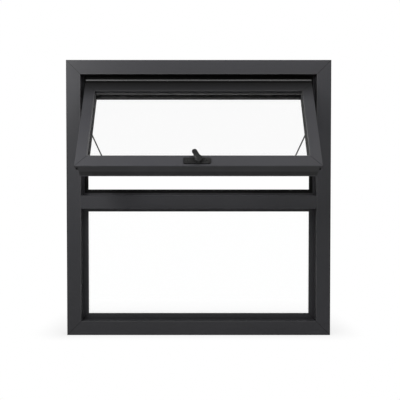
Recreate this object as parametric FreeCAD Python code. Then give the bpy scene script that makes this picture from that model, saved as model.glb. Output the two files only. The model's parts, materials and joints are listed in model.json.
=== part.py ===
import FreeCAD, Part
import math
import os

# Top hung awning window over a fixed light, in millimetres.
# X runs along the width, Y goes into the wall (the face is at low Y), Z is up.
# The origin is the middle of the sill's underside.
# The sash is built closed and then swung open about its hinge.

V = FreeCAD.Vector

# Outer frame
frame_width = 900.0
frame_height = 938.0
frame_depth = 75.0
face_width = 48.5
frame_wall = 2.0
arris = 1.2

# Stop fin that runs round the inside of the frame
fin_setback = 38.0
fin_thickness = 3.0
fin_height = 20.0
fin_slot_play = 0.2
break_before_fin = 4.0
break_after_fin = 3.0

# Transom between the vent and the fixed light
transom_share = 0.461
transom_face = 45.5
transom_upper_fin = 20.5
transom_lower_fin = 10.0

# Glazing, the same unit build in both lights
pane_thickness = 4.0
pane_cavity = 10.0
spacer_width = 7.0
glazing_gasket = 2.5
glass_edge_play = 4.0
gasket_inset = 1.5
fixed_bead_depth = 10.0
fixed_bead_height = 12.5
bead_wall = 1.4

# Vent gasket on the front of the fin
vent_gasket_width = 12.0
vent_gasket_base = 1.2
vent_gasket_height = 2.5
vent_gasket_bulb = 5.0
bulb_edge = 1.0
bulb_rounding = 0.9

# Continuous hinge
hinge_drop = 20.5
hinge_radius = 3.0
hinge_pin_radius = 1.4
hinge_leaf = 2.2
hinge_leaf_upstand = 12.0
hinge_knuckles = 11
knuckle_gap = 0.6
knuckle_play = 0.3
pin_play = 0.1
knuckle_relief = 0.9
sash_leaf_reach = 25.0

# Sash
sash_side_play = 18.5
sash_below_hinge = 15.0
sash_lip_over_fin = 2.0
sash_depth = 62.0
flange_thickness = 9.0
flange_lip = 1.5
rail_lip = 6.5
stile_face = 36.0
top_rail_face = 37.0
bottom_rail_face = 41.5
rebate = 18.0
rebate_leg = 11.0
sash_bead_depth = 6.5
sash_wall = 1.8
shoulder_start = 23.0
shoulder_end = 34.0
shoulder_step = 7.0
open_angle = 36.3

# Handle on the bottom rail
handle_base_length = 86.0
handle_base_height = 22.0
handle_base_thickness = 5.0
handle_base_shift = -4.5
handle_base_corner = 5.0
handle_base_chamfer = 1.2
handle_up = 19.0
boss_radius = 12.5
boss_height = 11.0
lever_play = 0.3
lever_reach = 29.0
lever_half_width = 8.3
lever_thickness = 8.0
lever_chamfer = 1.2
hub_inset = 0.5
lever_lean = 25.0
spindle_radius = 4.0
spindle_depth = 8.0
spindle_end_play = 1.0

# Telescopic stays, one each side
stay_top_inset = 17.5
stay_top_from_back = 5.3
stay_top_share = 0.4
stay_foot_inset = 102.0
stay_foot_standoff = 10.0
stay_foot_up = 20.5
stay_ball_radius = 4.5
ball_bands = 6
stay_ball_play = 0.5
stay_socket_wall = 2.2
stay_neck_radius = 2.2
stay_rod_radius = 2.5
stay_rod_end_play = 5.0
stay_tube_floor = 3.0
stay_tube_overlap = 6.5
stay_tube_play = 0.3
stay_tube_wall = 1.7
stay_plate_thickness = 2.5
stay_plate_length = 36.0
stay_plate_behind_fin = 11.0
stay_plate_setback = 1.0
socket_mouth = 0.4
neck_rise = 41.0
foot_dish_play = 1.2
foot_rim_below = 4.0
foot_pad_radius = 6.5
foot_plate_length = 30.0
foot_plate_height = 18.0
foot_plate_thickness = 2.0

# Fixing holes through the jambs
fixing_hole = 6.5
fixing_from_corner = 169.0
fixing_setback = 17.0

# How far a cutting shape runs past what it cuts
over = 1.0

# Worked out from the sizes above
front = -frame_depth / 2
half_width = frame_width / 2
opening_half = half_width - face_width
head_inner = frame_height - face_width
transom_bottom = transom_share * frame_height
transom_top = transom_bottom + transom_face
fin_front = front + fin_setback
fin_back = fin_front + fin_thickness
axis_y = front + hinge_radius
axis_z = head_inner - hinge_drop
sash_top = axis_z - sash_below_hinge
sash_bottom = transom_top + transom_upper_fin + sash_lip_over_fin
sash_half_width = opening_half - sash_side_play
glass_bite = rebate - glass_edge_play
axis_point = V(0, axis_y, axis_z)


def rounded_wire(corners, place):
    """A closed outline through corners (a, b, radius), put in space by place(a, b)."""
    count = len(corners)
    starts, mids, ends = [], [], []
    for i, (a, b, radius) in enumerate(corners):
        here = V(a, b, 0)
        before = V(*corners[i - 1][:2], 0)
        after = V(*corners[(i + 1) % count][:2], 0)
        if radius <= 0:
            starts.append(here)
            mids.append(None)
            ends.append(here)
            continue
        to_before = (before - here).normalize()
        to_after = (after - here).normalize()
        half = to_before.getAngle(to_after) / 2
        back = radius / math.tan(half)
        middle = (to_before + to_after).normalize()
        centre = here + middle * (radius / math.sin(half))
        starts.append(here + to_before * back)
        mids.append(centre - middle * radius)
        ends.append(here + to_after * back)
    edges = []
    for i in range(count):
        if mids[i] is not None:
            three = [place(p.x, p.y) for p in (starts[i], mids[i], ends[i])]
            edges.append(Part.Arc(*three).toShape())
        leave, arrive = ends[i], starts[(i + 1) % count]
        if (leave - arrive).Length > 1e-6:
            edges.append(Part.makeLine(place(leave.x, leave.y), place(arrive.x, arrive.y)))
    return Part.Wire(edges)


def sharp(points):
    return [(a, b, 0) for a, b in points]


def rectangle(a0, b0, a1, b1):
    return sharp([(a0, b0), (a1, b0), (a1, b1), (a0, b1)])


def extrude(outlines, place, along):
    """Extrude a section: the first outline is the outside, the others are its hollows."""
    wires = [rounded_wire(outline, place) for outline in outlines]
    face = Part.makeFace(wires, "Part::FaceMakerBullseye")
    return face.extrude(along)


def prism_xz(points, y0, y1):
    """A block with the given X and Z outline, between two depths."""
    ring = [V(x, y0, z) for x, z in points]
    face = Part.Face(Part.makePolygon(ring + ring[:1]))
    return face.extrude(V(0, y1 - y0, 0))


def box(x0, x1, y0, y1, z0, z1):
    return Part.makeBox(x1 - x0, y1 - y0, z1 - z0, V(x0, y0, z0))


def mitred_bar(side, limits, outlines, start_y):
    """One side of a rectangular ring, mitred at both ends.

    limits are the ring's outer edges (x0, x1, z0, z1). The section's first number
    runs inwards from the outer edge, and its second into the wall from start_y.
    """
    x0, x1, z0, z1 = limits
    reach = max(a for a, b, r in outlines[0])
    lows = min(b for a, b, r in outlines[0])
    highs = max(b for a, b, r in outlines[0])
    if side == "top":
        place, along = lambda a, b: V(x0, start_y + b, z1 - a), V(x1 - x0, 0, 0)
        corners = [(x0, z1), (x1, z1), (x1 - reach, z1 - reach), (x0 + reach, z1 - reach)]
    elif side == "bottom":
        place, along = lambda a, b: V(x0, start_y + b, z0 + a), V(x1 - x0, 0, 0)
        corners = [(x0, z0), (x1, z0), (x1 - reach, z0 + reach), (x0 + reach, z0 + reach)]
    elif side == "left":
        place, along = lambda a, b: V(x0 + a, start_y + b, z0), V(0, 0, z1 - z0)
        corners = [(x0, z0), (x0, z1), (x0 + reach, z1 - reach), (x0 + reach, z0 + reach)]
    else:
        place, along = lambda a, b: V(x1 - a, start_y + b, z0), V(0, 0, z1 - z0)
        corners = [(x1, z0), (x1, z1), (x1 - reach, z1 - reach), (x1 - reach, z0 + reach)]
    bar = extrude(outlines, place, along)
    return bar.common(prism_xz(corners, start_y + lows, start_y + highs))


SIDES = ("top", "bottom", "left", "right")


def frame_section():
    wall, deep = frame_wall, frame_depth
    break_start = fin_setback - break_before_fin
    break_end = fin_setback + fin_thickness + break_after_fin
    tip = face_width + fin_height
    outside = [(0, 0, arris), (face_width, 0, arris), (face_width, fin_setback, 0),
               (tip, fin_setback, 0), (tip, fin_setback + fin_thickness, 0),
               (face_width, fin_setback + fin_thickness, 0), (face_width, deep, 0), (0, deep, 0)]
    inner = face_width - wall
    front_room = rectangle(wall, wall, inner, break_start - wall)
    break_room = rectangle(wall, break_start, inner, break_end)
    back_room = rectangle(wall, break_end + wall, inner, deep - wall)
    return [outside, front_room, break_room, back_room]


def fixing_holes(sign):
    """Through holes for the frame screws, near both ends of a jamb."""
    holes = []
    for z in (fixing_from_corner, frame_height - fixing_from_corner):
        start = V(sign * (half_width + over), front + fixing_setback, z)
        holes.append(Part.makeCylinder(fixing_hole / 2, face_width + 2 * over, start, V(-sign, 0, 0)))
    return holes


def frame_members():
    limits = (-half_width, half_width, 0, frame_height)
    section = frame_section()
    parts = {
        "frame_head": mitred_bar("top", limits, section, front),
        "frame_sill": mitred_bar("bottom", limits, section, front),
        "frame_jamb_left": mitred_bar("left", limits, section, front),
        "frame_jamb_right": mitred_bar("right", limits, section, front),
    }
    parts["frame_jamb_left"] = parts["frame_jamb_left"].cut(fixing_holes(-1))
    parts["frame_jamb_right"] = parts["frame_jamb_right"].cut(fixing_holes(1))
    return parts


def transom():
    wall, deep = frame_wall, frame_depth
    fin_rear = fin_setback + fin_thickness
    low, high = -transom_lower_fin, transom_face + transom_upper_fin
    outside = [(0, 0, arris), (0, fin_setback, 0), (low, fin_setback, 0), (low, fin_rear, 0),
               (0, fin_rear, 0), (0, deep, 0), (transom_face, deep, 0), (transom_face, fin_rear, 0),
               (high, fin_rear, 0), (high, fin_setback, 0), (transom_face, fin_setback, 0),
               (transom_face, 0, arris)]
    break_start = fin_setback - break_before_fin
    break_end = fin_rear + break_after_fin
    top = transom_face - wall
    rooms = [rectangle(wall, wall, top, break_start - wall), rectangle(wall, break_start, top, break_end),
             rectangle(wall, break_end + wall, top, deep - wall)]

    def place(a, b):
        return V(-opening_half, front + b, transom_bottom + a)
    bar = extrude([outside] + rooms, place, V(2 * opening_half, 0, 0))
    inner = opening_half - fin_height
    z0, z1 = transom_bottom + low - over, transom_bottom + high + over
    y0, y1 = fin_front - fin_slot_play, fin_back + fin_slot_play
    outer = opening_half + over
    slots = [box(-outer, -inner, y0, y1, z0, z1), box(inner, outer, y0, y1, z0, z1)]
    return bar.cut(slots)


def pane(limits, y0, thickness):
    x0, x1, z0, z1 = limits
    return box(x0, x1, y0, y0 + thickness, z0, z1)


def seal_ring(glass, sight, y):
    """A flat glazing seal between the glass's edges and the clear opening."""
    return pane(glass, y, glazing_gasket).cut(pane(sight, y - over, glazing_gasket + 2 * over))


def bead_section(width, deep):
    wall = bead_wall
    outside = [(0, 0, 0), (width, 0, 0), (width, deep, arris), (0, deep, 0)]
    return [outside, rectangle(wall, wall, width - wall, deep - wall)]


def glazing(name, glass, front_sight, back_sight, gasket_y, bead_limits, bead_depth):
    """A sealed unit with its gaskets and beads.

    glass holds the edges of the panes, front_sight and back_sight the edges of the
    clear opening before and behind them, and bead_limits the edges of the rebate
    that the beads fill.
    """
    parts = {}
    y = gasket_y
    gx0, gx1, gz0, gz1 = glass
    parts[name + "_gasket_front"] = seal_ring(glass, front_sight, y)
    y += glazing_gasket
    parts[name + "_pane_front"] = pane(glass, y, pane_thickness)
    y += pane_thickness
    inner = (gx0 + spacer_width, gx1 - spacer_width, gz0 + spacer_width, gz1 - spacer_width)
    core = pane(inner, y - over, pane_cavity + 2 * over)
    parts[name + "_spacer"] = pane(glass, y, pane_cavity).cut(core)
    y += pane_cavity
    parts[name + "_pane_back"] = pane(glass, y, pane_thickness)
    y += pane_thickness
    parts[name + "_gasket_back"] = seal_ring(glass, back_sight, y)
    y += glazing_gasket
    bx0, bx1, bz0, bz1 = bead_limits
    sx0, sx1, sz0, sz1 = back_sight
    widths = {"top": bz1 - sz1, "bottom": sz0 - bz0, "left": sx0 - bx0, "right": bx1 - sx1}
    for side in SIDES:
        parts[name + "_bead_" + side] = bead(side, bead_limits, back_sight, widths[side], bead_depth, y)
    return parts


def bead(side, limits, sight, width, deep, start_y):
    """One bead: the top and bottom run through, the sides fit between them."""
    x0, x1, z0, z1 = limits
    section = bead_section(width, deep)
    if side == "top":
        place, along = lambda a, b: V(x0, start_y + b, z1 - a), V(x1 - x0, 0, 0)
    elif side == "bottom":
        place, along = lambda a, b: V(x0, start_y + b, z0 + a), V(x1 - x0, 0, 0)
    elif side == "left":
        place, along = lambda a, b: V(x0 + a, start_y + b, sight[2]), V(0, 0, sight[3] - sight[2])
    else:
        place, along = lambda a, b: V(x1 - a, start_y + b, sight[2]), V(0, 0, sight[3] - sight[2])
    return extrude(section, place, along)


def fixed_light():
    side, low, high = opening_half, face_width, transom_bottom
    rebate_limits = (-side, side, low, high)
    glass = (-side + glass_edge_play, side - glass_edge_play, low + glass_edge_play, high - glass_edge_play)
    fin = fin_height - gasket_inset
    lower = transom_lower_fin - gasket_inset
    front_sight = (-side + fin, side - fin, low + fin, high - lower)
    rise = fixed_bead_height
    back_sight = (-side + rise, side - rise, low + rise, high - lower)
    return glazing("fixed", glass, front_sight, back_sight, fin_back, rebate_limits, fixed_bead_depth)


def vent_gasket():
    """The black seal that the closing sash meets, on the front of the fin."""
    width, base = vent_gasket_width, vent_gasket_base
    rise = vent_gasket_height
    bulb1 = width - bulb_edge
    bulb0 = bulb1 - vent_gasket_bulb
    section = [[(0, 0, 0), (0, -base, 0), (bulb0, -base, 0), (bulb0, -rise, bulb_rounding),
                (bulb1, -rise, bulb_rounding), (bulb1, -base, 0), (width, -base, 0), (width, 0, 0)]]
    inset = fin_height - width
    low = transom_top + transom_upper_fin - width
    limits = (-opening_half + inset, opening_half - inset, low, head_inner + width)
    bars = [mitred_bar(side, limits, section, fin_front) for side in ("bottom", "left", "right")]
    seal = bars[0].fuse(bars[1:])
    leaf_top = axis_z + hinge_leaf / 2 + hinge_leaf_upstand
    above = box(-half_width, half_width, front, fin_back, head_inner, frame_height)
    room = sash_half_width + over
    leaf_room = box(-room, room, front, fin_back, axis_z - hinge_radius - over, leaf_top)
    strip = box(-opening_half + inset, opening_half - inset, fin_front - base, fin_front, leaf_top, head_inner)
    return seal.fuse(strip).cut([above, leaf_room]).removeSplitter()


def knuckle_spans():
    """Start and end of each knuckle along the hinge, by turns on the frame and on the sash."""
    pitch = 2 * sash_half_width / hinge_knuckles
    spans = []
    for k in range(hinge_knuckles):
        start = -sash_half_width + k * pitch + knuckle_gap / 2
        spans.append((start, start + pitch - knuckle_gap))
    return spans


def tube_x(x0, x1, centre_y, centre_z, outer, inner=0.0):
    tube = Part.makeCylinder(outer, x1 - x0, V(x0, centre_y, centre_z), V(1, 0, 0))
    if inner > 0:
        tube = tube.cut(Part.makeCylinder(inner, x1 - x0, V(x0, centre_y, centre_z), V(1, 0, 0)))
    return tube


def knuckle_room(x0, x1):
    """The room that one leaf leaves for a knuckle of the other."""
    room, gap = hinge_radius + knuckle_relief, knuckle_gap
    return box(x0 - gap, x1 + gap, axis_y - room, axis_y + room, axis_z - room, axis_z + room)


def hinge_leaf_frame():
    half_leaf = hinge_leaf / 2
    z0, z1 = axis_z - half_leaf, axis_z + half_leaf
    w = sash_half_width
    leaf = box(-w, w, axis_y, fin_front, z0, z1)
    upstand = box(-w, w, fin_front - hinge_leaf, fin_front, z0, z1 + hinge_leaf_upstand)
    leaf = leaf.fuse(upstand)
    bore = tube_x(-w, w, axis_y, axis_z, hinge_pin_radius + pin_play)
    for k, (x0, x1) in enumerate(knuckle_spans()):
        if k % 2 == 0:
            leaf = leaf.fuse(tube_x(x0, x1, axis_y, axis_z, hinge_radius))
        else:
            leaf = leaf.cut(knuckle_room(x0, x1))
    return leaf.cut(bore)


def hinge_leaf_sash():
    """An angle on the top rail whose upright leg carries the other knuckles (closed)."""
    w, half_leaf = sash_half_width, hinge_leaf / 2
    upright = box(-w, w, axis_y - half_leaf, axis_y + half_leaf, sash_top, axis_z)
    foot = box(-w, w, axis_y - half_leaf, axis_y + sash_leaf_reach, sash_top, sash_top + hinge_leaf)
    leaf = upright.fuse(foot)
    for k, (x0, x1) in enumerate(knuckle_spans()):
        if k % 2 == 1:
            leaf = leaf.fuse(tube_x(x0, x1, axis_y, axis_z, hinge_radius))
        else:
            leaf = leaf.cut(knuckle_room(x0, x1))
    return leaf.cut(tube_x(-w, w, axis_y, axis_z, hinge_pin_radius + knuckle_play))


def hinge_pin():
    return tube_x(-sash_half_width, sash_half_width, axis_y, axis_z, hinge_pin_radius)


def stile_section():
    face, wall = stile_face, sash_wall
    box_inner = face - rebate
    outside = [(0, 0, arris), (face, 0, arris), (face, rebate_leg, 0), (box_inner, rebate_leg, 0),
               (box_inner, sash_depth, 0), (flange_lip + shoulder_step, sash_depth, 0),
               (flange_lip + shoulder_step, shoulder_end, 0), (flange_lip, shoulder_start, 0),
               (flange_lip, flange_thickness, 0), (0, flange_thickness, 0)]
    front_room = rectangle(flange_lip + wall, wall, face - wall, rebate_leg - wall)
    slope = shoulder_step / (shoulder_end - shoulder_start)
    room_in = flange_lip + shoulder_step + wall
    back_room = sharp([(flange_lip + wall, rebate_leg + wall), (box_inner - wall, rebate_leg + wall),
                       (box_inner - wall, sash_depth - wall), (room_in, sash_depth - wall),
                       (room_in, shoulder_end + slope), (flange_lip + wall, shoulder_start + slope)])
    return [outside, front_room, back_room]


def rail_section(face, lip):
    wall = sash_wall
    box_inner = face - rebate
    outside = [(0, 0, arris), (face, 0, arris), (face, rebate_leg, 0), (box_inner, rebate_leg, 0),
               (box_inner, sash_depth, 0), (lip, sash_depth, 0)]
    if lip > 0:
        outside += [(lip, flange_thickness, 0), (0, flange_thickness, 0)]
    front_room = rectangle(lip + wall, wall, face - wall, rebate_leg - wall)
    back_room = rectangle(lip + wall, rebate_leg + wall, box_inner - wall, sash_depth - wall)
    return [outside, front_room, back_room]


def sash_envelope():
    """The sash's outer form seen along Z: flange, body and bevelled shoulder."""
    w, lip, step = sash_half_width, flange_lip, shoulder_step
    right = [(w, 0), (w, flange_thickness), (w - lip, flange_thickness), (w - lip, shoulder_start),
             (w - lip - step, shoulder_end), (w - lip - step, sash_depth)]
    left = [(-x, y) for x, y in reversed(right)]
    points = [V(x, front + y, sash_bottom) for x, y in right + left]
    face = Part.Face(Part.makePolygon(points + points[:1]))
    return face.extrude(V(0, 0, sash_top - sash_bottom))


def sash_corner_block(side):
    """The outline of one sash member between its mitres, whose slopes meet at the inner corners."""
    w, top, bottom = sash_half_width, sash_top, sash_bottom
    inner_x = w - stile_face
    inner_top, inner_bottom = top - top_rail_face, bottom + bottom_rail_face
    outer = {"top": [(-w, top), (w, top)], "bottom": [(w, bottom), (-w, bottom)],
             "left": [(-w, bottom), (-w, top)], "right": [(w, top), (w, bottom)]}[side]
    inner = {"top": [(inner_x, inner_top), (-inner_x, inner_top)],
             "bottom": [(-inner_x, inner_bottom), (inner_x, inner_bottom)],
             "left": [(-inner_x, inner_top), (-inner_x, inner_bottom)],
             "right": [(inner_x, inner_bottom), (inner_x, inner_top)]}[side]
    return prism_xz(outer + inner, front, front + sash_depth)


def sash_members():
    w, z0, z1 = sash_half_width, sash_bottom, sash_top
    sections = {"top": rail_section(top_rail_face, 0), "bottom": rail_section(bottom_rail_face, rail_lip),
                "left": stile_section(), "right": stile_section()}
    places = {"top": (lambda a, b: V(-w, front + b, z1 - a), V(2 * w, 0, 0)),
              "bottom": (lambda a, b: V(-w, front + b, z0 + a), V(2 * w, 0, 0)),
              "left": (lambda a, b: V(-w + a, front + b, z0), V(0, 0, z1 - z0)),
              "right": (lambda a, b: V(w - a, front + b, z0), V(0, 0, z1 - z0))}
    names = {"top": "sash_top_rail", "bottom": "sash_bottom_rail", "left": "sash_stile_left",
             "right": "sash_stile_right"}
    parts = {}
    envelope = sash_envelope()
    for side in SIDES:
        place, along = places[side]
        bar = extrude(sections[side], place, along)
        parts[names[side]] = bar.common(sash_corner_block(side)).common(envelope)
    return parts


def sash_light():
    inner_x = sash_half_width - stile_face
    low, high = sash_bottom + bottom_rail_face, sash_top - top_rail_face
    sight = (-inner_x, inner_x, low, high)
    glass = (-inner_x - glass_bite, inner_x + glass_bite, low - glass_bite, high + glass_bite)
    rebate_limits = (-inner_x - rebate, inner_x + rebate, low - rebate, high + rebate)
    return glazing("sash", glass, sight, sight, front + rebate_leg, rebate_limits, sash_bead_depth)


def handle_base():
    z = sash_bottom + handle_up
    half_l, half_h = handle_base_length / 2, handle_base_height / 2
    round_off = handle_base_corner
    outline = [(-half_l, -half_h, round_off), (half_l, -half_h, round_off), (half_l, half_h, round_off),
               (-half_l, half_h, round_off)]

    def place(a, b):
        return V(handle_base_shift + a, front, z + b)
    plate = extrude([outline], place, V(0, -handle_base_thickness, 0))
    rim = [e for e in plate.Edges if abs(e.BoundBox.YMin - e.BoundBox.YMax) < 1e-6
           and abs(e.BoundBox.YMin - (front - handle_base_thickness)) < 1e-6]
    plate = plate.makeChamfer(handle_base_chamfer, rim)
    boss = Part.makeCylinder(boss_radius, boss_height, V(0, front, z), V(0, -1, 0))
    hole_depth = spindle_depth + spindle_end_play
    bore = Part.makeCylinder(spindle_radius + lever_play, hole_depth,
                             V(0, front - boss_height + hole_depth, z), V(0, -1, 0))
    return plate.fuse(boss).cut(bore).removeSplitter()


def handle_lever():
    """The lever with its hub and spindle, leaning to the left of upright."""
    z = sash_bottom + handle_up
    base_y = front - boss_height - lever_play
    hub = Part.makeCylinder(boss_radius - hub_inset, lever_thickness, V(0, base_y, z), V(0, -1, 0))
    w, reach = lever_half_width, lever_reach
    lean = math.radians(lever_lean)
    out = V(-math.sin(lean), 0, math.cos(lean))
    across = V(math.cos(lean), 0, math.sin(lean))

    def place(a, b):
        return V(0, base_y, z) + across * a + out * b
    outline = [(-w, 0, 0), (w, 0, 0), (w, reach + w, w - 0.01), (-w, reach + w, w - 0.01)]
    arm = extrude([outline], place, V(0, -lever_thickness, 0))
    lever = hub.fuse(arm).removeSplitter()
    top = base_y - lever_thickness
    rim = [e for e in lever.Edges if abs(e.BoundBox.YMin - top) < 1e-6 and abs(e.BoundBox.YMax - top) < 1e-6]
    lever = lever.makeChamfer(lever_chamfer, rim)
    spindle = Part.makeCylinder(spindle_radius, spindle_depth + lever_play,
                                V(0, base_y + lever_play + spindle_depth, z), V(0, -1, 0))
    return lever.fuse(spindle)


def swing_open(shape):
    """Turn a closed sash piece about the hinge to its open place."""
    moved = shape.copy()
    moved.rotate(axis_point, V(1, 0, 0), -open_angle)
    return moved


def stay_points(sign):
    """The ball centres of a stay: at the frame, at the closed sash and at the open sash."""
    top_z = sash_top - stay_top_share * (sash_top - sash_bottom)
    top = V(sign * (opening_half - stay_top_inset), front + frame_depth - stay_top_from_back, top_z)
    foot = V(sign * (sash_half_width - stay_foot_inset), front + sash_depth + stay_foot_standoff,
             sash_bottom + stay_foot_up)
    turn = FreeCAD.Rotation(V(1, 0, 0), -open_angle)
    return top, foot, axis_point + turn.multVec(foot - axis_point)


def stay_lengths(sign):
    """The rod ends short of the tube's floor when closed, and stays in the tube when open."""
    top, closed, opened = stay_points(sign)
    rod = (closed - top).Length - 2 * stay_ball_radius - stay_tube_floor - stay_rod_end_play
    tube = (opened - top).Length - rod + stay_tube_overlap
    return rod, tube


def ball(radius, centre, pole):
    """A ball turned in straight bands about its pole, which its neck runs along."""
    step = math.pi / ball_bands
    rings = [V(radius * math.sin(i * step), 0, radius * math.cos(i * step)) for i in range(1, ball_bands)]
    profile = [V(0, 0, radius)] + rings + [V(0, 0, -radius)]
    turned = Part.Face(Part.makePolygon(profile + profile[:1])).revolve(V(0, 0, 0), V(0, 0, 1), 360)
    turned.Placement = FreeCAD.Placement(centre, FreeCAD.Rotation(V(0, 0, 1), pole))
    return turned


def stay_bracket(sign):
    """A plate on the jamb with a ball on a slanting neck."""
    top, _, _ = stay_points(sign)
    rise = math.radians(neck_rise)
    aim = V(sign * math.cos(rise), 0, math.sin(rise))
    plate_x = opening_half - stay_plate_thickness
    neck_length = (stay_top_inset - stay_plate_thickness) / math.cos(rise)
    neck = Part.makeCylinder(stay_neck_radius, neck_length + over, top, aim)
    plate_z = top.z + neck_length * math.sin(rise)
    x0, x1 = sorted((sign * plate_x, sign * opening_half))
    y0, y1 = fin_back + stay_plate_behind_fin, front + frame_depth - stay_plate_setback
    half = stay_plate_length / 2
    plate = box(x0, x1, y0, y1, plate_z - half, plate_z + half)
    return plate.fuse([neck, ball(stay_ball_radius, top, aim)])


def stay_rod(sign):
    """The thin rod with the socket that goes round the bracket's ball."""
    top, _, foot = stay_points(sign)
    aim = (foot - top).normalize()
    inner = stay_ball_radius + stay_ball_play
    outer = inner + stay_socket_wall
    socket = ball(outer, top, aim)
    away = Part.makeCylinder(2 * outer, 2 * outer, top - aim * (2 * outer + socket_mouth), aim)
    rod_length, _ = stay_lengths(sign)
    rod = Part.makeCylinder(stay_rod_radius, rod_length - inner, top + aim * inner, aim)
    return socket.cut(away).fuse(rod).cut(ball(inner, top, aim))


def stay_tube(sign):
    """The tube that the rod slides in, with a ball at its foot."""
    top, _, foot = stay_points(sign)
    aim = (top - foot).normalize()
    bore = stay_rod_radius + stay_tube_play
    outer = bore + stay_tube_wall
    start = 2 * stay_ball_radius
    _, tube_length = stay_lengths(sign)
    tube = Part.makeCylinder(outer, tube_length - start, foot + aim * start, aim)
    hollow = Part.makeCylinder(bore, tube_length, foot + aim * (start + stay_tube_floor), aim)
    neck = Part.makeCylinder(stay_neck_radius, start + over, foot, aim)
    return tube.cut(hollow).fuse([neck, ball(stay_ball_radius, foot, aim)])


def stay_foot(sign):
    """The dished pad behind the bottom rail that the tube's ball sits in (closed)."""
    _, foot, _ = stay_points(sign)
    back = front + sash_depth
    half_l, half_h = foot_plate_length / 2, foot_plate_height / 2
    plate_back = back + foot_plate_thickness
    plate = box(foot.x - half_l, foot.x + half_l, back, plate_back, foot.z - half_h, foot.z + half_h)
    pad_height = stay_foot_standoff - foot_rim_below
    pad = Part.makeCylinder(foot_pad_radius, pad_height, V(foot.x, back, foot.z), V(0, 1, 0))
    dish = ball(stay_ball_radius + foot_dish_play, foot, V(0, 1, 0))
    return plate.fuse(pad).cut(dish)


def build():
    parts = {}
    parts.update(frame_members())
    parts["transom"] = transom()
    parts.update(fixed_light())
    parts["vent_gasket"] = vent_gasket()
    parts["hinge_leaf_frame"] = hinge_leaf_frame()
    parts["hinge_pin"] = hinge_pin()
    swung = {}
    swung.update(sash_members())
    swung.update(sash_light())
    swung["hinge_leaf_sash"] = hinge_leaf_sash()
    swung["handle_base"] = handle_base()
    swung["handle_lever"] = handle_lever()
    for sign, side in ((-1, "left"), (1, "right")):
        parts["stay_bracket_" + side] = stay_bracket(sign)
        parts["stay_rod_" + side] = stay_rod(sign)
        parts["stay_tube_" + side] = stay_tube(sign)
        swung["stay_foot_" + side] = stay_foot(sign)
    for name, shape in swung.items():
        parts[name] = swing_open(shape)
    return parts


def main():
    os.makedirs("parts", exist_ok=True)
    for name, shape in build().items():
        solids = shape.Solids
        if len(solids) == 1:
            shape = solids[0]
        print(name, "solids", len(solids), "valid", shape.isValid(), "volume", round(shape.Volume))
        shape.exportStep("parts/" + name + ".step")


main()
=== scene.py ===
# %% [markdown]
# A top hung awning window stands on a pale studio floor. Its sash is propped open on two
# telescopic stays, above a light that doesn't open. The frame of CAD nodes is loaded first, and
# what is added later is placed by its nodes and joints. Lengths are in metres. The widths of
# the metal sections, which the box of a whole node doesn't show, are named where they are needed.
# %% Load the window's frame
import json
import math

import bmesh
import bpy
from mathutils import Matrix, Vector


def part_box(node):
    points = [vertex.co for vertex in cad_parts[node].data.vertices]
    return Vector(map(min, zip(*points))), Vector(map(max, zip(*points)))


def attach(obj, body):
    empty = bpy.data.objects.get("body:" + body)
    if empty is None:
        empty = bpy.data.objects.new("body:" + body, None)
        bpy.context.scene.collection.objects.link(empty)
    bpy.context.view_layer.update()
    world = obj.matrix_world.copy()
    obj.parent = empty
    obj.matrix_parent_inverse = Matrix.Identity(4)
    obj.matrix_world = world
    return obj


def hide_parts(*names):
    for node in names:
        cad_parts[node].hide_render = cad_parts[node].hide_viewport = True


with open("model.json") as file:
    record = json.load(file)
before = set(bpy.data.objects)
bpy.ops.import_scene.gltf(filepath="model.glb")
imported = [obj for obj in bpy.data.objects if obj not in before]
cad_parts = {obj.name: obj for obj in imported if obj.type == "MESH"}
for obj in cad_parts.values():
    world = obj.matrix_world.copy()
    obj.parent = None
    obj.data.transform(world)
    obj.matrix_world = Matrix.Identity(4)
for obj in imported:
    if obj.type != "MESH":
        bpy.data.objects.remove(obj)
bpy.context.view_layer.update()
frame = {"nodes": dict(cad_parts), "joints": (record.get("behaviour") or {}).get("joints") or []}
nodes = frame["nodes"]

# %% [markdown]
# Three things are needed again and again: the outer size of the frame, the hinge line at the
# sash's top, and the directions of the open sash. They could be typed in as numbers, but a
# window of another size would leave such numbers behind, so they are read from the nodes and
# from the sash's joint, whose range is the angle by which the sash stands open.
# %% Measure the frame and the open sash
MM = 0.001
joints = {joint["name"]: joint for joint in frame["joints"]}
frame_low, frame_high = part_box("frame_jamb_left")
half_width = -frame_low.x
frame_height = frame_high.z
face_y, back_y = frame_low.y, frame_high.y
hinge = Vector(joints["sash_hinge"]["pos_m"])
hinge_setback = hinge.y - face_y
open_angle = math.radians(joints["sash_hinge"]["range_deg"][1])
sash_down = Vector((0, -math.sin(open_angle), -math.cos(open_angle)))
sash_out = Vector((0, -math.cos(open_angle), math.sin(open_angle)))


def on_sash(across, down, deep):
    """A point of the open sash: across its width, down from the hinge, and behind its face."""
    return Vector((across, hinge.y, hinge.z)) + sash_down * down + sash_out * (hinge_setback - deep)


print("frame", round(2 * half_width, 3), "wide,", round(frame_height, 3), "high; sash open",
      round(math.degrees(open_angle), 1), "degrees")

# %% [markdown]
# The camera comes next, because everything is judged through it. The photograph's picture is
# square and its edges converge a little, which gives a lens of about 61 mm at 2.3 m from the
# face, with its eye just above the middle of the window and turned down a degree and a half.
# %% Camera at the photograph's place
PICTURE = 400
FOCAL_PIXELS = 674.4
SENSOR = 36
EYE_ASIDE, EYE_AWAY, EYE_HEIGHT = 4.6 * MM, 2.2967, 0.5216
LOOK_DOWN = math.radians(1.464)

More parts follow.
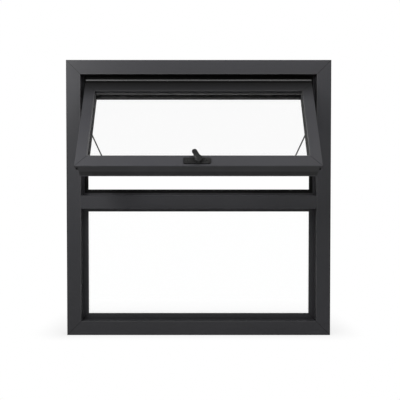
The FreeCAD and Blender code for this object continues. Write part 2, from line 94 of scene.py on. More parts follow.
camera_data = bpy.data.cameras.new("camera")
camera_data.sensor_width = SENSOR
camera_data.lens = FOCAL_PIXELS / PICTURE * SENSOR
camera = bpy.data.objects.new("camera", camera_data)
camera.location = (EYE_ASIDE, face_y - EYE_AWAY, EYE_HEIGHT)
camera.rotation_euler = (math.pi / 2 - LOOK_DOWN, 0, 0)
bpy.context.scene.collection.objects.link(camera)
bpy.context.scene.camera = camera
print("lens", round(camera_data.lens, 1), "mm")

# %% [markdown]
# Finishes are written as sums. A pattern could be wired node by node, but it would be hard to
# read. So a small class wraps one socket, and its plus, minus, times and power add the Math
# nodes that do the sum. A pattern then reads as the formula that it is.
# %% Sockets that count


class Value:
    """A socket that can be added, multiplied and compared like a number."""

    def __init__(self, tree, socket):
        self.tree = tree
        self.socket = socket

    def math(self, operation, first, second):
        return self.tree.add("Math", {"operation": operation}, {0: first, 1: second})

    def __add__(self, other):
        return self.math("ADD", self, other)

    __radd__ = __add__

    def __sub__(self, other):
        return self.math("SUBTRACT", self, other)

    def __rsub__(self, other):
        return self.math("SUBTRACT", other, self)

    def __mul__(self, other):
        return self.math("MULTIPLY", self, other)

    __rmul__ = __mul__

    def __pow__(self, other):
        return self.math("POWER", self, other)

    def __abs__(self):
        return self.math("ABSOLUTE", self, 0.0)

    def least(self, other):
        return self.math("MINIMUM", self, other)

    def most(self, other):
        return self.math("MAXIMUM", self, other)


print("sockets can be added and multiplied")

# %% [markdown]
# A material and the world both hold a tree of nodes. One method adds a node of any kind: its
# settings come first, because they can change its sockets, and its numbers and links after.
# Two kinds of node are used so often that they have a method of their own.
# %% Trees of nodes


class Tree:
    """The nodes of a material or of the world."""

    def __init__(self, owner):
        owner.use_nodes = True
        self.nodes = owner.node_tree.nodes
        self.links = owner.node_tree.links

    def add(self, kind, settings, inputs, output=0):
        node = self.nodes.new("ShaderNode" + kind)
        for name, setting in settings.items():
            setattr(node, name, setting)
        for socket, value in inputs.items():
            if isinstance(value, Value):
                self.links.new(value.socket, node.inputs[socket])
            else:
                node.inputs[socket].default_value = value
        return Value(self, node.outputs[output])

    def ray(self, kind):
        """1 for rays of that kind and 0 for all others."""
        return self.add("LightPath", {}, {}, kind)

    def step(self, value, start, end, before=0.0, after=1.0):
        """before below start, after above end, and a smooth turn between them."""
        settings = {"interpolation_type": "SMOOTHSTEP"}
        return self.add("MapRange", settings, {0: value, 1: start, 2: end, 3: before, 4: after})


print("trees ready")

# %% [markdown]
# A finish is a material's tree with the surface shader that every new material brings. What is
# the same all over is set on that shader's sockets once. What changes over the surface is worked
# out from the place on the piece and fed to the shader, or makes the surface bumpy.
# %% Finishes


class Finish(Tree):
    """A material with its surface shader."""

    def __init__(self, name, **constants):
        self.material = bpy.data.materials.new(name)
        super().__init__(self.material)
        self.shader = self.nodes["Principled BSDF"]
        for socket, value in constants.items():
            self.shader.inputs[socket.replace("_", " ")].default_value = value
        self.place = self.add("TexCoord", {}, {}, "Object")

    def noise(self, scale, detail=2.0):
        return self.add("TexNoise", {}, {"Vector": self.place, "Scale": scale, "Detail": detail})

    def axis(self, name):
        return self.add("SeparateXYZ", {}, {0: self.place}, name)

    def line(self, distance, width):
        """1 within a hairline of that width and 0 beyond it."""
        return 1 - self.step(distance, width * 0.4, width * 0.6)

    def mix(self, factor, first, second):
        return self.add("Mix", {"data_type": "RGBA"}, {0: factor, 6: first, 7: second}, 2)

    def feed(self, socket, value):
        self.links.new(value.socket, self.shader.inputs[socket])

    def bump(self, height, strength, distance):
        inputs = {"Strength": strength, "Distance": distance, "Height": height}
        self.feed("Normal", self.add("Bump", {}, inputs, "Normal"))


def grey(level, cool=0.0):
    """A near grey colour with its alpha; cool is the share of blue that it gains."""
    return (level, level, level * (1 + cool), 1)


print("finishes ready")

# %% [markdown]
# The metal is charcoal powder coat, baked plastic over aluminium. Up close it is a fine orange
# peel: the colour hardly changes but the gloss breaks up. Noise of four sizes does it, and stays
# sharp in close views: a broad one for the shade, a middle one for the gloss, a small one for the
# peel and a fine one for specks. Where two members meet, their rounded edges leave a dark groove.
# Along an edge a painted highlight makes the coat lighter, and a shade, where one is given, is painted
# shade.
# %% Powder coat
COAT_SHINE = 0.2
SHADE_SCALE, GLOSS_SCALE, PEEL_SCALE, SPECK_SCALE = 3.5, 45, 620, 900
TONE_LOW, TONE_HIGH = 0.93, 1.07
COOL_LOW, COOL_HIGH = 0.06, 0.14
SPECK_SHARE, SPECK_GAIN = 0.1, 1.7
ROUGH_LOW, ROUGH_SPREAD = 0.42, 0.12
PEEL_STRENGTH, PEEL_DEPTH = 0.3, 0.05 * MM
JOINT_WIDTH, JOINT_DARK, JOINT_DEPTH = 2.2 * MM, 0.85, 3.0
EDGE_HIGHLIGHT_WIDTH, EDGE_HIGHLIGHT_GAIN = 2.6 * MM, 2.2
SHADED = 0.06


def powder_coat(name, level, joint=None, edge=None, shade=None, highlight_strength=1.0):
    """A coat of that grey. joint and edge work out a distance, and shade a share of painted light, from the
    place on the coat; edge gives where the painted highlight lies. highlight_strength says how strong the
    painted edge highlight is."""
    coat = Finish(name, Specular_IOR_Level=COAT_SHINE)
    dark, light = grey(level * TONE_LOW, COOL_LOW), grey(level * TONE_HIGH, COOL_HIGH)
    tone = coat.mix(coat.noise(SHADE_SCALE, 3.0), dark, light)
    tone = coat.mix(coat.noise(SPECK_SCALE, 1.0) * SPECK_SHARE, tone, grey(level * SPECK_GAIN))
    height = coat.noise(PEEL_SCALE)
    if edge is not None:
        # painted highlight along the edges
        tone = coat.mix(coat.line(edge(coat), EDGE_HIGHLIGHT_WIDTH) * highlight_strength, tone, grey(level * EDGE_HIGHLIGHT_GAIN))
    if joint is not None:
        groove = coat.line(joint(coat), JOINT_WIDTH)
        tone = coat.mix(groove * JOINT_DARK, tone, grey(level * 0.1))
        height = height - groove * JOINT_DEPTH
    # painted shade, darker where the shade factor is low
    if shade is not None:
        tone = coat.mix(shade(coat), grey(level * SHADED), tone)
    coat.feed("Base Color", tone)
    coat.feed("Roughness", coat.noise(GLOSS_SCALE, 3.0) * ROUGH_SPREAD + ROUGH_LOW)
    coat.bump(height, PEEL_STRENGTH, PEEL_DEPTH)
    return coat.material


print("powder coat recipe ready")

# %% [markdown]
# The outer frame is mitred at its corners. A mitre is the plane whose points are as far from the side as
# from the head or the sill, so the distance from it is a difference of two distances, and no line has to be
# drawn on any piece. The inner edge of the face gets a painted highlight line, and the rounded outer edge
# gets painted shade.
# %% The frame's joints, painted edge highlights and painted shade
FRAME_FACE = 48.5 * MM
HIGHLIGHT_INSET = 0.6 * MM
RIM_SHADE = 0.35


def from_frame_side(coat):
    return half_width - abs(coat.axis("X"))


def frame_joint(coat):
    """Distance from the mitre planes of the outer frame."""
    from_side, height = from_frame_side(coat), coat.axis("Z")
    return abs(from_side - height).least(abs(from_side - (frame_height - height)))


def frame_edge_highlight(coat):
    """Distance from the inner edges of the frame's face, where the painted highlight lies, large away from
    the face.
    """
    height = coat.axis("Z")
    inner = from_frame_side(coat).least(height).least(frame_height - height)
    return abs(inner - (FRAME_FACE - HIGHLIGHT_INSET)) + coat.step(coat.axis("Y"), face_y, face_y + 4 * MM)


def frame_shade(coat):
    """Painted shade that dips on the rounded outer edges of the face at both sides and the foot."""
    outer = from_frame_side(coat).least(coat.axis("Z"))
    behind = coat.step(coat.axis("Y"), face_y + 2 * MM, face_y + 5 * MM)
    rim = coat.step(outer, 1 * MM, 4 * MM).most(behind)
    return rim * (1 - RIM_SHADE) + RIM_SHADE


print("frame's face", round(FRAME_FACE / MM, 1), "mm wide")

# %% [markdown]
# The sash hangs from its top edge, so its patterns are measured along its own slope: how far a point lies
# below the hinge, and how far behind the sash's face. The top of the face sits in a deep gap under the head,
# so painted shade darkens the coat there, and it clears within a hand's breadth. The bottom rail stands out
# furthest into the light, so the face is painted lighter towards it, and its underside gets painted shade in
# two steps. The inner edges of the face get a painted highlight line.
# %% The sash's joints, painted edge highlights and painted shade
SASH_TOP = 15 * MM
SASH_LENGTH = 353.6 * MM
TOP_RAIL, BOTTOM_RAIL, STILE = 37 * MM, 41.5 * MM, 36 * MM
sash_half = -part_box("sash_stile_left")[0].x
sash_bottom = SASH_TOP + SASH_LENGTH


def down_sash(coat):
    below = (coat.axis("Y") - hinge.y) * sash_down.y
    return below + (coat.axis("Z") - hinge.z) * sash_down.z


def behind_sash_face(coat):
    out = (coat.axis("Y") - hinge.y) * sash_out.y
    return hinge_setback - (out + (coat.axis("Z") - hinge.z) * sash_out.z)


def sash_joint(coat):
    """Distance from the mitre planes of the sash, large away from its corners."""
    from_side = sash_half - abs(coat.axis("X"))
    down = down_sash(coat)
    from_top = (down - SASH_TOP) * (STILE / TOP_RAIL)
    from_bottom = (sash_bottom - down) * (STILE / BOTTOM_RAIL)
    mitre = abs(from_side - from_top).least(abs(from_side - from_bottom))
    return mitre + coat.step(from_side, STILE, STILE + 1 * MM)


def sash_edge_highlight(coat):
    """Distance from the inner edges of the sash's face, where the painted highlight lies, large away from
    the face.
    """
    from_side = sash_half - abs(coat.axis("X"))
    down = down_sash(coat)
    inner = (from_side - STILE).least(down - SASH_TOP - TOP_RAIL).least(sash_bottom - BOTTOM_RAIL - down)
    return abs(inner + HIGHLIGHT_INSET) + coat.step(behind_sash_face(coat), 0.5 * MM, 3 * MM)


def sash_shade(coat):
    """Painted shade: 0 on the face at the hinge, 1 on the face of the bottom rail, and less on its
    underside.
    """
    down, depth = down_sash(coat), behind_sash_face(coat)
    # clear is where the painted shade at the hinge has faded; out_in_light paints the face lighter lower
    # down
    clear = coat.step(down, SASH_TOP - 10 * MM, SASH_TOP + 100 * MM).most(coat.step(depth, 8 * MM, 20 * MM))
    bottom_rail = coat.step(down, 300 * MM, 340 * MM) * (1 - coat.step(depth, 56 * MM, 61 * MM))
    underside_shade = coat.step(depth, 2 * MM, 4 * MM) * 0.46 + coat.step(depth, 32 * MM, 44 * MM) * 0.4
    out_in_light = coat.step(down, 120 * MM, 340 * MM) * 0.24 + 0.76
    return clear * out_in_light * (1 - underside_shade * bottom_rail)


print("sash", round(2 * sash_half, 3), "wide and", round(SASH_LENGTH, 3), "long")

# %% [markdown]
# One charcoal goes on all the metal. The frame's and the sash's coats carry their own joints, painted edge
# highlights and painted shade, so each has a material of its own, while the transom, which is cut square,
# needs none of them. The sash's coat is the same paint made lighter, as painted light on the sloping sash,
# and the beads' coat is a little darker.
# %% Four coats of one paint
COAT, SASH_PAINTED_LIGHT, DARKER = 0.034, 1.5, 0.8
frame_coat = powder_coat("charcoal_frame_coat", COAT, frame_joint, frame_edge_highlight, frame_shade,
                         highlight_strength=0.8)
plain_coat = powder_coat("charcoal_coat", COAT)
# the sash's coat is painted lighter as painted light
sash_coat = powder_coat("charcoal_sash_coat", COAT * SASH_PAINTED_LIGHT, sash_joint, sash_edge_highlight, sash_shade,
                        highlight_strength=0.9)
bead_coat = powder_coat("charcoal_bead_coat", COAT * DARKER)
print("four coats of paint")

# %% [markdown]
# The hinge's leaves lie in the shadow gap, and their near-black colour is painted shade. Its rolled knuckles
# get a painted highlight, bright and partly metallic. Two materials would need a cut between knuckle and
# leaf, so one finish goes from the dark leaf to the bright knuckle by its distance from the hinge line.
# %% Hinge with painted shade on its leaves and a painted highlight on its knuckles
KNUCKLE_RADIUS = 3 * MM
LEAF_SHADE_GREY, KNUCKLE_HIGHLIGHT_GREY = 0.004, 0.13
DULL_SHINE = 0.06


def hinge_finish():
    coat = Finish("hinge_coat", Specular_IOR_Level=DULL_SHINE)
    across, up = coat.axis("Y") - hinge.y, coat.axis("Z") - hinge.z
    reach = (across * across + up * up) ** 0.5
    knuckle = coat.line(reach, 2 * KNUCKLE_RADIUS + 0.8 * MM)
    # painted highlight on the knuckles, made uneven by noise
    knuckle_highlight = knuckle * (0.7 + coat.noise(160, 3.0) * 0.3)
    coat.feed("Base Color", coat.mix(knuckle_highlight, grey(LEAF_SHADE_GREY), grey(KNUCKLE_HIGHLIGHT_GREY)))
    coat.feed("Roughness", 0.6 - knuckle_highlight * 0.2)
    coat.feed("Metallic", knuckle_highlight * 0.6)
    coat.bump(coat.noise(PEEL_SCALE), PEEL_STRENGTH, PEEL_DEPTH)
    return coat.material


hinge_coat = hinge_finish()
print("hinge finish")

# %% [markdown]
# The handle is cast, black and a little glossier where fingers polish it. The seals are black rubber, matt
# with a dull bloom. The sash's seals are painted much paler, as painted light and reflection on them. A
# plain colour would look like card, so a noise makes the worn places and the bloom uneven.
# %% Handle and rubber
HANDLE_SHINE = 0.3
HANDLE_GREY, WORN_GREY = 0.012, 0.03
SEAL_GREY, SASH_SEAL_PAINTED_LIGHT_GREY = 0.004, 0.036


def handle_finish():
    coat = Finish("black_handle_coat", Specular_IOR_Level=HANDLE_SHINE)
    worn = coat.step(coat.noise(60, 3.0), 0.45, 0.75)
    coat.feed("Base Color", coat.mix(worn, grey(HANDLE_GREY), grey(WORN_GREY)))
    coat.feed("Roughness", 0.38 - worn * 0.1)
    coat.bump(coat.noise(PEEL_SCALE), PEEL_STRENGTH, PEEL_DEPTH)
    return coat.material


def rubber(name, level):
    seal = Finish(name, Specular_IOR_Level=DULL_SHINE)
    bloom = seal.noise(38, 4.0)
    seal.feed("Base Color", seal.mix(bloom, grey(level), grey(level * 3)))
    seal.feed("Roughness", bloom * 0.2 + 0.6)
    seal.bump(seal.noise(420, 3.0), 0.3, 0.1 * MM)
    return seal.material


handle_coat = handle_finish()
seal_rubber = rubber("black_rubber", SEAL_GREY)
# the sash's seals are painted paler as painted light and reflection
sash_rubber = rubber("bloomed_rubber", SASH_SEAL_PAINTED_LIGHT_GREY)
print("handle and two rubbers")

# %% [markdown]
# The stays and the hinge pin are drawn stainless rod, with a tight gloss that fine drawing lines
# blur. The spacer between the panes is plain aluminium with many tiny holes for the drying beads
# inside. The holes are too small to model, so dark spots of a fine noise stand for them.
# %% Steel and spacer
STAY_GREY, PIN_GREY = 0.5, 0.45
HOLE_GREY, SPACER_GREY = 0.06, 0.26


def steel(name, level):
    metal = Finish(name, Metallic=1.0)
    drawn = metal.noise(900)
    metal.feed("Base Color", metal.mix(drawn, grey(level * 0.85), grey(level)))
    metal.feed("Roughness", drawn * 0.14 + 0.24)
    metal.bump(drawn, 0.15, 0.03 * MM)
    return metal.material


def spacer_finish():
    bar = Finish("aluminium_spacer", Metallic=0.5)
    plain = bar.step(bar.noise(500, 0.0), 0.35, 0.45)
    bar.feed("Base Color", bar.mix(plain, grey(HOLE_GREY), grey(SPACER_GREY)))
    bar.feed("Roughness", 0.5 - plain * 0.1)
    return bar.material


stay_steel = steel("drawn_steel", STAY_GREY)
pin_steel = steel("hinge_pin_steel", PIN_GREY)
spacer_bar = spacer_finish()
print("two steels and the spacer")

# %% [markdown]
# Clear glass is seen by what it reflects. A pane lets nearly all light straight through and
# mirrors a few hundredths of it, more at a glancing view. Glass that bends light would be truer,
# but four panes of it are slow and cast black shadows. So the shader is a mirror that is nearly
# see-through, and its alpha rises as the view gets flatter.
# %% Glass that is a faint mirror
HEAD_ON = 0.04
MIRROR_SHARE = 0.3
FILM_SHARE = 0.004


def clear_glass():
    glass = Finish("clear_glass", Metallic=1.0, Base_Color=(0.9, 0.95, 0.94, 1))
    facing = glass.add("LayerWeight", {}, {"Blend": 0.5}, "Facing")
    mirror = HEAD_ON + (1 - HEAD_ON) * facing ** 5
    film = glass.noise(7, 3.0)
    glass.feed("Alpha", mirror * MIRROR_SHARE + film * FILM_SHARE)
    glass.feed("Roughness", film * 0.03 + 0.01)
    return glass.material


pane_glass = clear_glass()
print("clear glass")

# %% [markdown]
# Each node of the frame now gets its finish, chosen by what its name says it is. A list of all
# the nodes would do the same, but the names already say it. Only the material slots change: the
# meshes stay as they came.
# %% Give every node its finish


def finish_for(name):
    if "pane" in name:
        return pane_glass
    if name.startswith("sash_gasket"):
        return sash_rubber
    if "gasket" in name:
        return seal_rubber
    if "spacer" in name:
        return spacer_bar
    if name == "hinge_pin":
        return pin_steel
    if name.startswith("hinge_leaf"):
        return hinge_coat
    if name.startswith("stay_"):
        return stay_steel
    if name.startswith("handle"):
        return handle_coat
    if "bead" in name:
        return bead_coat
    if name.startswith("sash_"):
        return sash_coat
    if name.startswith("frame_"):
        return frame_coat
    return plain_coat


for name, node in nodes.items():
    for slot in node.material_slots:
        slot.material = finish_for(name)
print("finishes on", len(nodes), "nodes")

# %% [markdown]
# New pieces are modelled from primitives in edit mode. An operator acts on all that is selected,
# so these helpers first let go of everything, and then pick faces or edges by where they are and
# which way they face. Modifiers are applied at once, so that each piece is a finished mesh.
# %% Helpers for shaping a piece


def clear_selection():
    for obj in bpy.context.selected_objects:
        obj.select_set(False)


def start_piece(name):
    """Name the fresh primitive and begin to edit it with nothing selected."""
    piece = bpy.context.object
    piece.name = piece.data.name = name
    bpy.ops.object.mode_set(mode="EDIT")
    bpy.ops.mesh.select_all(action="DESELECT")
    return piece


def choose_faces(piece, wanted):
    """Select the faces that wanted(middle, normal) accepts."""
    bpy.ops.mesh.select_mode(type="FACE")
    bpy.ops.mesh.select_all(action="DESELECT")
    mesh = bmesh.from_edit_mesh(piece.data)
    for face in mesh.faces:
        face.select_set(wanted(face.calc_center_median(), face.normal))
    bmesh.update_edit_mesh(piece.data)


def choose_edges(piece, wanted):
    """Select the edges that wanted(start, end) accepts."""
    bpy.ops.mesh.select_mode(type="EDGE")
    bpy.ops.mesh.select_all(action="DESELECT")
    mesh = bmesh.from_edit_mesh(piece.data)
    for edge in mesh.edges:
        edge.select_set(wanted(edge.verts[0].co, edge.verts[1].co))
    bmesh.update_edit_mesh(piece.data)


def apply_modifier(piece, kind, **settings):
    modifier = piece.modifiers.new(kind.lower(), kind)
    for name, setting in settings.items():
        setattr(modifier, name, setting)
    bpy.context.view_layer.objects.active = piece
    bpy.ops.object.modifier_apply(modifier=modifier.name)


print("shaping helpers ready")

# %% [markdown]
# A piece is made round the origin, facing up, and then carried to its place. The object could
# be moved there, but the frame's nodes all sit at the origin with their place in their mesh, and
# patterns read that place. So the mesh is moved, and the object goes back to the origin.
# %% Helpers for placing a piece


def facing(centre, normal):
    """The move that puts a piece made at the origin, facing up, at centre with that normal."""
    return Matrix.Translation(centre) @ Vector(normal).to_track_quat("Z", "Y").to_matrix().to_4x4()


def settle(piece, move, body, finish):
    """Put the mesh in its place, and hand the piece to a body and a slot."""
    piece.data.transform(move @ piece.matrix_basis)
    piece.matrix_basis = Matrix.Identity(4)
    piece.data.materials.clear()
    piece.data.materials.append(finish)
    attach(piece, body)
    return piece


def twin(piece, name):
    """A copy with a mesh of its own."""
    copy = piece.copy()
    copy.data = piece.data.copy()
    copy.name = copy.data.name = name
    bpy.context.scene.collection.objects.link(copy)
    return copy


print("placing helpers ready")

# %% [markdown]
# Small screws hold the handle's base, the stays' brackets and their feet. A screw head is a low
# dome with a cross recess. A picture of a cross would stay flat in close views, so the head is
# turned from a cylinder: its top is inset and raised for the dome, and two bars cut the cross
# with a Boolean modifier.
# %% One screw head
HEAD_RADIUS = 3.6 * MM
HEAD_RISE = 0.9 * MM
HEAD_STEPS = ((0.9 * MM, 0.35 * MM), (1.0 * MM, 0.15 * MM))
CROSS_BAR = (3.6 * MM, 0.9 * MM, 2.0 * MM)
CROSS_RISE = 1.5 * MM


def make_screw():
    clear_selection()
    bpy.ops.mesh.primitive_cylinder_add(vertices=32, radius=HEAD_RADIUS, depth=2 * HEAD_RISE)
    screw = start_piece("screw_pattern")
    choose_faces(screw, lambda middle, normal: normal.z > 0.9)
    for inset, rise in HEAD_STEPS:
        bpy.ops.mesh.inset(thickness=inset)
        bpy.ops.transform.translate(value=(0, 0, rise))
    bpy.ops.object.mode_set(mode="OBJECT")
    for turn in (0, math.pi / 2):
        clear_selection()
        bpy.ops.mesh.primitive_cube_add(size=1, location=(0, 0, CROSS_RISE), rotation=(0, 0, turn))
        bar = bpy.context.object
        bar.scale = CROSS_BAR
        apply_modifier(screw, "BOOLEAN", operation="DIFFERENCE", object=bar, solver="EXACT")
        bpy.data.objects.remove(bar)
    return screw


screw_pattern = make_screw()
print("screw head with", len(screw_pattern.data.polygons), "faces")

# %% [markdown]
# The handle's base has a screw near each end. A stay's bracket has one above its ball and one
# below, and a stay's foot one on each side. All are copies of the one head, turned by different
# amounts, as real screws never stop at the same angle.
# %% Screws in their places
HANDLE_UP, HANDLE_THICK, HANDLE_SPREAD = 19 * MM, 5 * MM, 29 * MM
PLATE_FRONT, PLATE_BACK, PLATE_THICK = 23 * MM, 1 * MM, 2.5 * MM
BRACKET_ROWS = (("upper", 6 * MM), ("lower", 30 * MM))
FOOT_UP, FOOT_DEEP, FOOT_SPREAD = 20.5 * MM, 64 * MM, 10.6 * MM
FIRST_TURN, NEXT_TURN = 0.7, 1.9
handle_down = sash_bottom - HANDLE_UP


def middle_x(name):
    low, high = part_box(name)
    return (low.x + high.x) / 2


def screw_places(side, sign):
    """Name, centre, direction, body, slot and finish of the five screws on one side."""
    centre = on_sash(middle_x("handle_base") + sign * HANDLE_SPREAD, handle_down, -HANDLE_THICK)
    yield "handle_screw_" + side, centre, sash_out, "sash", "handle_finish", handle_coat
    plate_x = sign * (half_width - FRAME_FACE - PLATE_THICK)
    plate_y = back_y - (PLATE_FRONT + PLATE_BACK) / 2
    plate_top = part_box("stay_bracket_" + side)[1].z
    for row, drop in BRACKET_ROWS:
        centre = Vector((plate_x, plate_y, plate_top - drop))
        yield "bracket_screw_" + row + "_" + side, centre, (-sign, 0, 0), "frame", "stay_metal", stay_steel
    foot_x = middle_x("stay_foot_" + side)
    for end, shift in (("outer", sign * FOOT_SPREAD), ("inner", -sign * FOOT_SPREAD)):
        centre = on_sash(foot_x + shift, sash_bottom - FOOT_UP, FOOT_DEEP)
        yield "foot_screw_" + end + "_" + side, centre, -sash_out, "sash", "stay_metal", stay_steel


places = list(screw_places("left", -1)) + list(screw_places("right", 1))
for index, (name, centre, normal, body, slot, finish) in enumerate(places):
    turned = Matrix.Rotation(FIRST_TURN + NEXT_TURN * index, 4, "Z")
    settle(twin(screw_pattern, name), facing(centre, normal) @ turned, body, finish)
bpy.data.objects.remove(screw_pattern)
print(len(places), "screws")

# %% [markdown]
# Round each sealed unit a rubber wedge is pressed between the metal and the glass. Its lip
# stands a little proud of the pane. Four strips would have to be fitted at the corners, so the
# lip starts as one flat sheet: an inset marks off its inner part, which is deleted, and Solidify
# and Bevel give the ring that is left its rounded body.
# %% Rubber lips round the glass
LIP_WIDTH = 3.2 * MM
LIP_HEIGHT = 2.2 * MM
LIP_TUCK = 0.5 * MM
LIP_ROUND = 0.9 * MM


def rubber_lip(name, width, height, centre, normal, body, finish):
    """A ring round a clear opening of that size, tucked a little under the metal."""
    clear_selection()
    bpy.ops.mesh.primitive_plane_add(size=1)
    lip = start_piece(name)
    bpy.ops.mesh.select_all(action="SELECT")
    bpy.ops.transform.resize(value=(width + 2 * LIP_TUCK, height + 2 * LIP_TUCK, 1))
    bpy.ops.mesh.inset(thickness=LIP_WIDTH)
    bpy.ops.mesh.delete(type="FACE")
    bpy.ops.object.mode_set(mode="OBJECT")
    apply_modifier(lip, "SOLIDIFY", thickness=LIP_HEIGHT, offset=1)
    apply_modifier(lip, "BEVEL", width=LIP_ROUND, segments=3, limit_method="ANGLE")
    return settle(lip, facing(centre, normal), body, finish)


print("lip recipe ready")

# %% [markdown]
# The sash's sealed unit lies behind the leg of the rebate and a gasket, so the depth of its two
# outer faces is a sum of those sizes. The fixed light gets its lip at the back, between the beads
# that hold its glass.
# %% Lips on both lights
REBATE_LEG, GASKET, UNIT = 11 * MM, 2.5 * MM, 18 * MM
glass_high = SASH_TOP + TOP_RAIL
glass_low = sash_bottom - BOTTOM_RAIL
glass_middle = (glass_high + glass_low) / 2
light_width, light_height = 2 * (sash_half - STILE), glass_low - glass_high
front_depth = REBATE_LEG + GASKET
front, back = on_sash(0, glass_middle, front_depth), on_sash(0, glass_middle, front_depth + UNIT)
rubber_lip("sash_lip_front", light_width, light_height, front, sash_out, "sash", sash_rubber)
rubber_lip("sash_lip_back", light_width, light_height, back, -sash_out, "sash", sash_rubber)

bead_low, bead_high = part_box("fixed_bead_bottom"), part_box("fixed_bead_top")
bead_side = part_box("fixed_bead_left")[1].x
fixed_centre = Vector((0, bead_low[0].y, (bead_low[1].z + bead_high[0].z) / 2))
fixed_height = bead_high[0].z - bead_low[1].z
rubber_lip("fixed_lip_back", -2 * bead_side, fixed_height, fixed_centre, (0, 1, 0), "frame", seal_rubber)
print("lips on the glass of both lights")

# %% [markdown]
# The tube of each stay ends in a small collar that wipes the rod. It is a ring, and a torus
# would be too round for it. So it is a cylinder whose caps are inset to the bore and bridged,
# which opens the hole, and its outer edges are bevelled.
# %% Collars on the stays' tubes
ROD_RADIUS = 2.5 * MM
COLLAR_RADIUS = 5.3 * MM
COLLAR_LENGTH = 7 * MM
COLLAR_BACK = 2.5 * MM
BORE_PLAY = 0.35 * MM
COLLAR_ROUND = 1.0 * MM


def make_collar():
    clear_selection()
    bpy.ops.mesh.primitive_cylinder_add(vertices=40, radius=COLLAR_RADIUS, depth=COLLAR_LENGTH)
    collar = start_piece("collar_pattern")
    choose_faces(collar, lambda middle, normal: abs(normal.z) > 0.9)
    bpy.ops.mesh.inset(thickness=COLLAR_RADIUS - ROD_RADIUS - BORE_PLAY)
    bpy.ops.mesh.bridge_edge_loops()
    bpy.ops.object.mode_set(mode="OBJECT")
    apply_modifier(collar, "BEVEL", width=COLLAR_ROUND, segments=3, limit_method="ANGLE")
    return collar


collar_pattern = make_collar()
for side in ("left", "right"):
    axis = Vector(joints["stay_slide_" + side]["axis"])
    anchor = Vector(joints["stay_swing_" + side]["pos_m"])
    tube = nodes["stay_tube_" + side]
    reach = max((tube.matrix_world @ vertex.co - anchor).dot(axis) for vertex in tube.data.vertices)
    centre = anchor + axis * (reach - COLLAR_BACK)
    collar = twin(collar_pattern, "stay_collar_" + side)
    settle(collar, facing(centre, axis), "stay_tube_" + side, stay_steel)
bpy.data.objects.remove(collar_pattern)
print("two collars")

# %% [markdown]
# The lever is a cast arm with rounded sides, thicker at its hub and flatter at its tip. A plain
# bar would do from afar, but the rounded tip shows against the glass. So the arm is a box whose
# tip is drawn down, rounded in plan by a wide bevel of its two corner edges, and crowned by an
# inset.
# %% The lever's arm
LEVER_THICK = 8 * MM
ARM_REACH, ARM_HALF = 37.3 * MM, 8.3 * MM
TIP_NARROW, TIP_FLAT, TIP_ROUND = 0.96, 0.8, 0.93
CROWN_INSET, CROWN_RISE = 2.6 * MM, 0.5 * MM
ARM_ROUND = 1.1 * MM
SMOOTH_ANGLE = math.radians(50)


def make_arm():
    clear_selection()
    bpy.ops.mesh.primitive_cube_add(size=1)
    arm = start_piece("handle_arm")
    bpy.ops.mesh.select_all(action="SELECT")
    bpy.ops.transform.resize(value=(2 * ARM_HALF, ARM_REACH, LEVER_THICK), center_override=(0, 0, 0))
    bpy.ops.transform.translate(value=(0, ARM_REACH / 2, LEVER_THICK / 2))
    choose_faces(arm, lambda middle, normal: normal.y > 0.9)
    bpy.ops.transform.resize(value=(TIP_NARROW, 1, TIP_FLAT), center_override=(0, ARM_REACH, 0))
    choose_edges(arm, lambda start, end: (min(start.y, end.y) > 0.9 * ARM_REACH
                                          and abs(start.z - end.z) > LEVER_THICK / 2))
    bpy.ops.mesh.bevel(offset=TIP_ROUND * ARM_HALF, segments=10, affect="EDGES")
    choose_faces(arm, lambda middle, normal: normal.z > 0.9)
    bpy.ops.mesh.inset(thickness=CROWN_INSET)
    bpy.ops.transform.translate(value=(0, 0, CROWN_RISE))
    bpy.ops.object.mode_set(mode="OBJECT")
    apply_modifier(arm, "BEVEL", width=ARM_ROUND, segments=3, limit_method="ANGLE")
    bpy.ops.object.shade_smooth_by_angle(angle=SMOOTH_ANGLE)
    return arm


arm = make_arm()
print("arm with", len(arm.data.polygons), "faces")

# %% [markdown]
# The hub is a low dome over the boss. Its cylinder is lower than the lever by the rise of the
# dome, so that the hub's top lies where the plain lever's does. The same insets that make the
# screw's dome make this one, only larger.
# %% The lever's hub
HUB_RADIUS = 12 * MM
HUB_STEPS = ((2.5 * MM, 0.0), (3.0 * MM, 0.5 * MM), (3.5 * MM, 0.2 * MM))
HUB_ROUND = 1.6 * MM


def make_hub():
    drum = LEVER_THICK - sum(rise for inset, rise in HUB_STEPS)
    clear_selection()
    bpy.ops.mesh.primitive_cylinder_add(vertices=48, radius=HUB_RADIUS, depth=drum,
                                        location=(0, 0, drum / 2))
    hub = start_piece("handle_hub")
    choose_faces(hub, lambda middle, normal: normal.z > 0.9)
    for inset, rise in HUB_STEPS:
        bpy.ops.mesh.inset(thickness=inset)
        bpy.ops.transform.translate(value=(0, 0, rise))
    bpy.ops.object.mode_set(mode="OBJECT")
    apply_modifier(hub, "BEVEL", width=HUB_ROUND, segments=3, limit_method="ANGLE")
    bpy.ops.object.shade_smooth_by_angle(angle=SMOOTH_ANGLE)
    return hub


hub = make_hub()
print("hub with", len(hub.data.polygons), "faces")

# %% [markdown]
# At rest the lever leans to the left of straight up the sash. Three directions say how it lies:
# across the arm, along it, and out of the sash. They are the columns of a turning matrix, which
# is easier to check than three angles. The arm and hub stand for the frame's plain lever.
# %% The lever on its boss
LEAN = math.radians(25)
LEVER_BASE = 11.3 * MM
arm_out = -sash_down * math.cos(LEAN) - Vector((1, 0, 0)) * math.sin(LEAN)
arm_across = arm_out.cross(sash_out).normalized()
lever_turn = Matrix((arm_across, arm_out, sash_out)).transposed().to_4x4()
lever_place = Matrix.Translation(on_sash(0, handle_down, -LEVER_BASE)) @ lever_turn
settle(arm, lever_place, "handle", handle_coat)
settle(hub, lever_place, "handle", handle_coat)
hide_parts("handle_lever")
print("lever leans", round(math.degrees(LEAN)), "degrees")

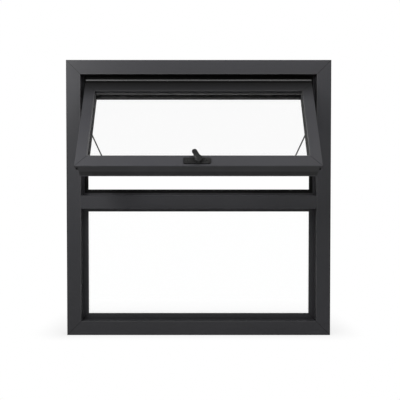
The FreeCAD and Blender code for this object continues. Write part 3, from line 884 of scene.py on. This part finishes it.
# %% [markdown]
# The studio is a pale floor and a white surround. The floor is a plain sheet that runs far past the picture.
# In the distance the camera sees it as plain white. Near the window a part of what is seen is the lit
# surface, so that the floor keeps the window's real soft shadow. That dimmer lit surface also makes a
# painted shadow round the foot, and that part fades out further behind the window than beside it, where the
# shadow falls.
# %% Floor
FLOOR_SIZE = 40
NEAR_SHARE = 0.78
SHADOW_REACH = 0.14
SHADOW_BACK = 0.7


def floor_finish():
    sheet = Finish("pale_floor", Roughness=0.9, Specular_IOR_Level=0.0)
    sheet.feed("Base Color", sheet.mix(sheet.noise(2), grey(0.82), grey(0.84)))
    beside = (abs(sheet.axis("X")) - half_width).most(0.0)
    ahead = (0 - sheet.axis("Y")).most(0.0)
    behind = sheet.axis("Y").most(0.0) * (SHADOW_REACH / SHADOW_BACK)
    away = (beside * beside + ahead * ahead + behind * behind) ** 0.5
    # painted shadow: less white near the foot, where the dim lit surface shows
    white_share = NEAR_SHARE + (1 - NEAR_SHARE) * sheet.step(away, 0.0, SHADOW_REACH)
    seen = sheet.ray("Is Camera Ray").most(sheet.ray("Is Glossy Ray")).most(sheet.ray("Is Transmission Ray"))
    white = sheet.add("Emission", {}, {"Color": (1, 1, 1, 1), "Strength": 1.0})
    surface = Value(sheet, sheet.shader.outputs[0])
    both = sheet.add("MixShader", {}, {0: seen * white_share, 1: surface, 2: white})
    sheet.links.new(both.socket, sheet.nodes["Material Output"].inputs["Surface"])
    return sheet.material


clear_selection()
bpy.ops.mesh.primitive_plane_add(size=FLOOR_SIZE)
floor = bpy.context.object
floor.name = "floor"
floor.data.materials.append(floor_finish())
print("floor", FLOOR_SIZE, "metres wide")

# %% [markdown]
# The surround is white to the camera and to anything that mirrors it, but it mirrors darker
# overhead, where a studio has its ceiling, so the sloping sash doesn't wash out. As a light it
# is weak, which leaves the gaps round the sash nearly black.
# %% The surround
AMBIENT = 0.08
CEILING = 0.25
CEILING_START, CEILING_END = 0.35, 0.8


def studio_surround():
    world = bpy.data.worlds.new("studio")
    bpy.context.scene.world = world
    sky = Tree(world)
    height = sky.add("SeparateXYZ", {}, {0: sky.add("TexCoord", {}, {}, "Generated")}, "Z")
    mirrored = sky.ray("Is Glossy Ray") * sky.step(height, CEILING_START, CEILING_END, 1.0, CEILING)
    seen = sky.ray("Is Camera Ray").most(sky.ray("Is Transmission Ray")).most(mirrored)
    background = sky.nodes["Background"]
    background.inputs["Color"].default_value = (1, 1, 1, 1)
    sky.links.new(seen.most(AMBIENT).socket, background.inputs["Strength"])


studio_surround()
bpy.context.scene.view_settings.view_transform = "Standard"
print("surround")

# %% [markdown]
# Five soft lamps light the window. A small one close to the top left corner makes that corner
# the brightest and lets the jamb fall off below it. A bar above the sash lights the sloping
# faces, which look up, far more than the upright frame, and the glass doesn't mirror it. Two
# weak boxes, high on the left and on the right, fill the rest, and one behind the window lights
# its back. The lamps themselves stay out of every picture.
# %% Studio lamps
AIM = Vector((0, 0, 0.5))


def soft_lamp(name, place, size, power, mirrored=True):
    """A panel of that size in metres and power in watts, turned to the window's middle."""
    data = bpy.data.lights.new(name, "AREA")
    data.shape = "RECTANGLE"
    data.size, data.size_y = size
    data.energy = power
    lamp = bpy.data.objects.new(name, data)
    lamp.location = place
    lamp.rotation_euler = (AIM - Vector(place)).to_track_quat("-Z", "Y").to_euler()
    lamp.visible_camera = False
    lamp.visible_glossy = mirrored
    bpy.context.scene.collection.objects.link(lamp)


soft_lamp("corner_lamp", (-0.75, -0.8, 1.05), (0.3, 0.3), 5.8)
soft_lamp("left_lamp", (-1.1, -1.6, 2.0), (1.0, 0.8), 9.0)
soft_lamp("right_lamp", (1.0, -1.2, 1.9), (0.9, 0.7), 7.7)
soft_lamp("bar_lamp", (0.28, -0.52, 1.36), (0.8, 0.2), 4.4, mirrored=False)
soft_lamp("back_lamp", (0.8, 2.6, 1.8), (1.5, 1.5), 50, mirrored=False)
print("lamps lit")
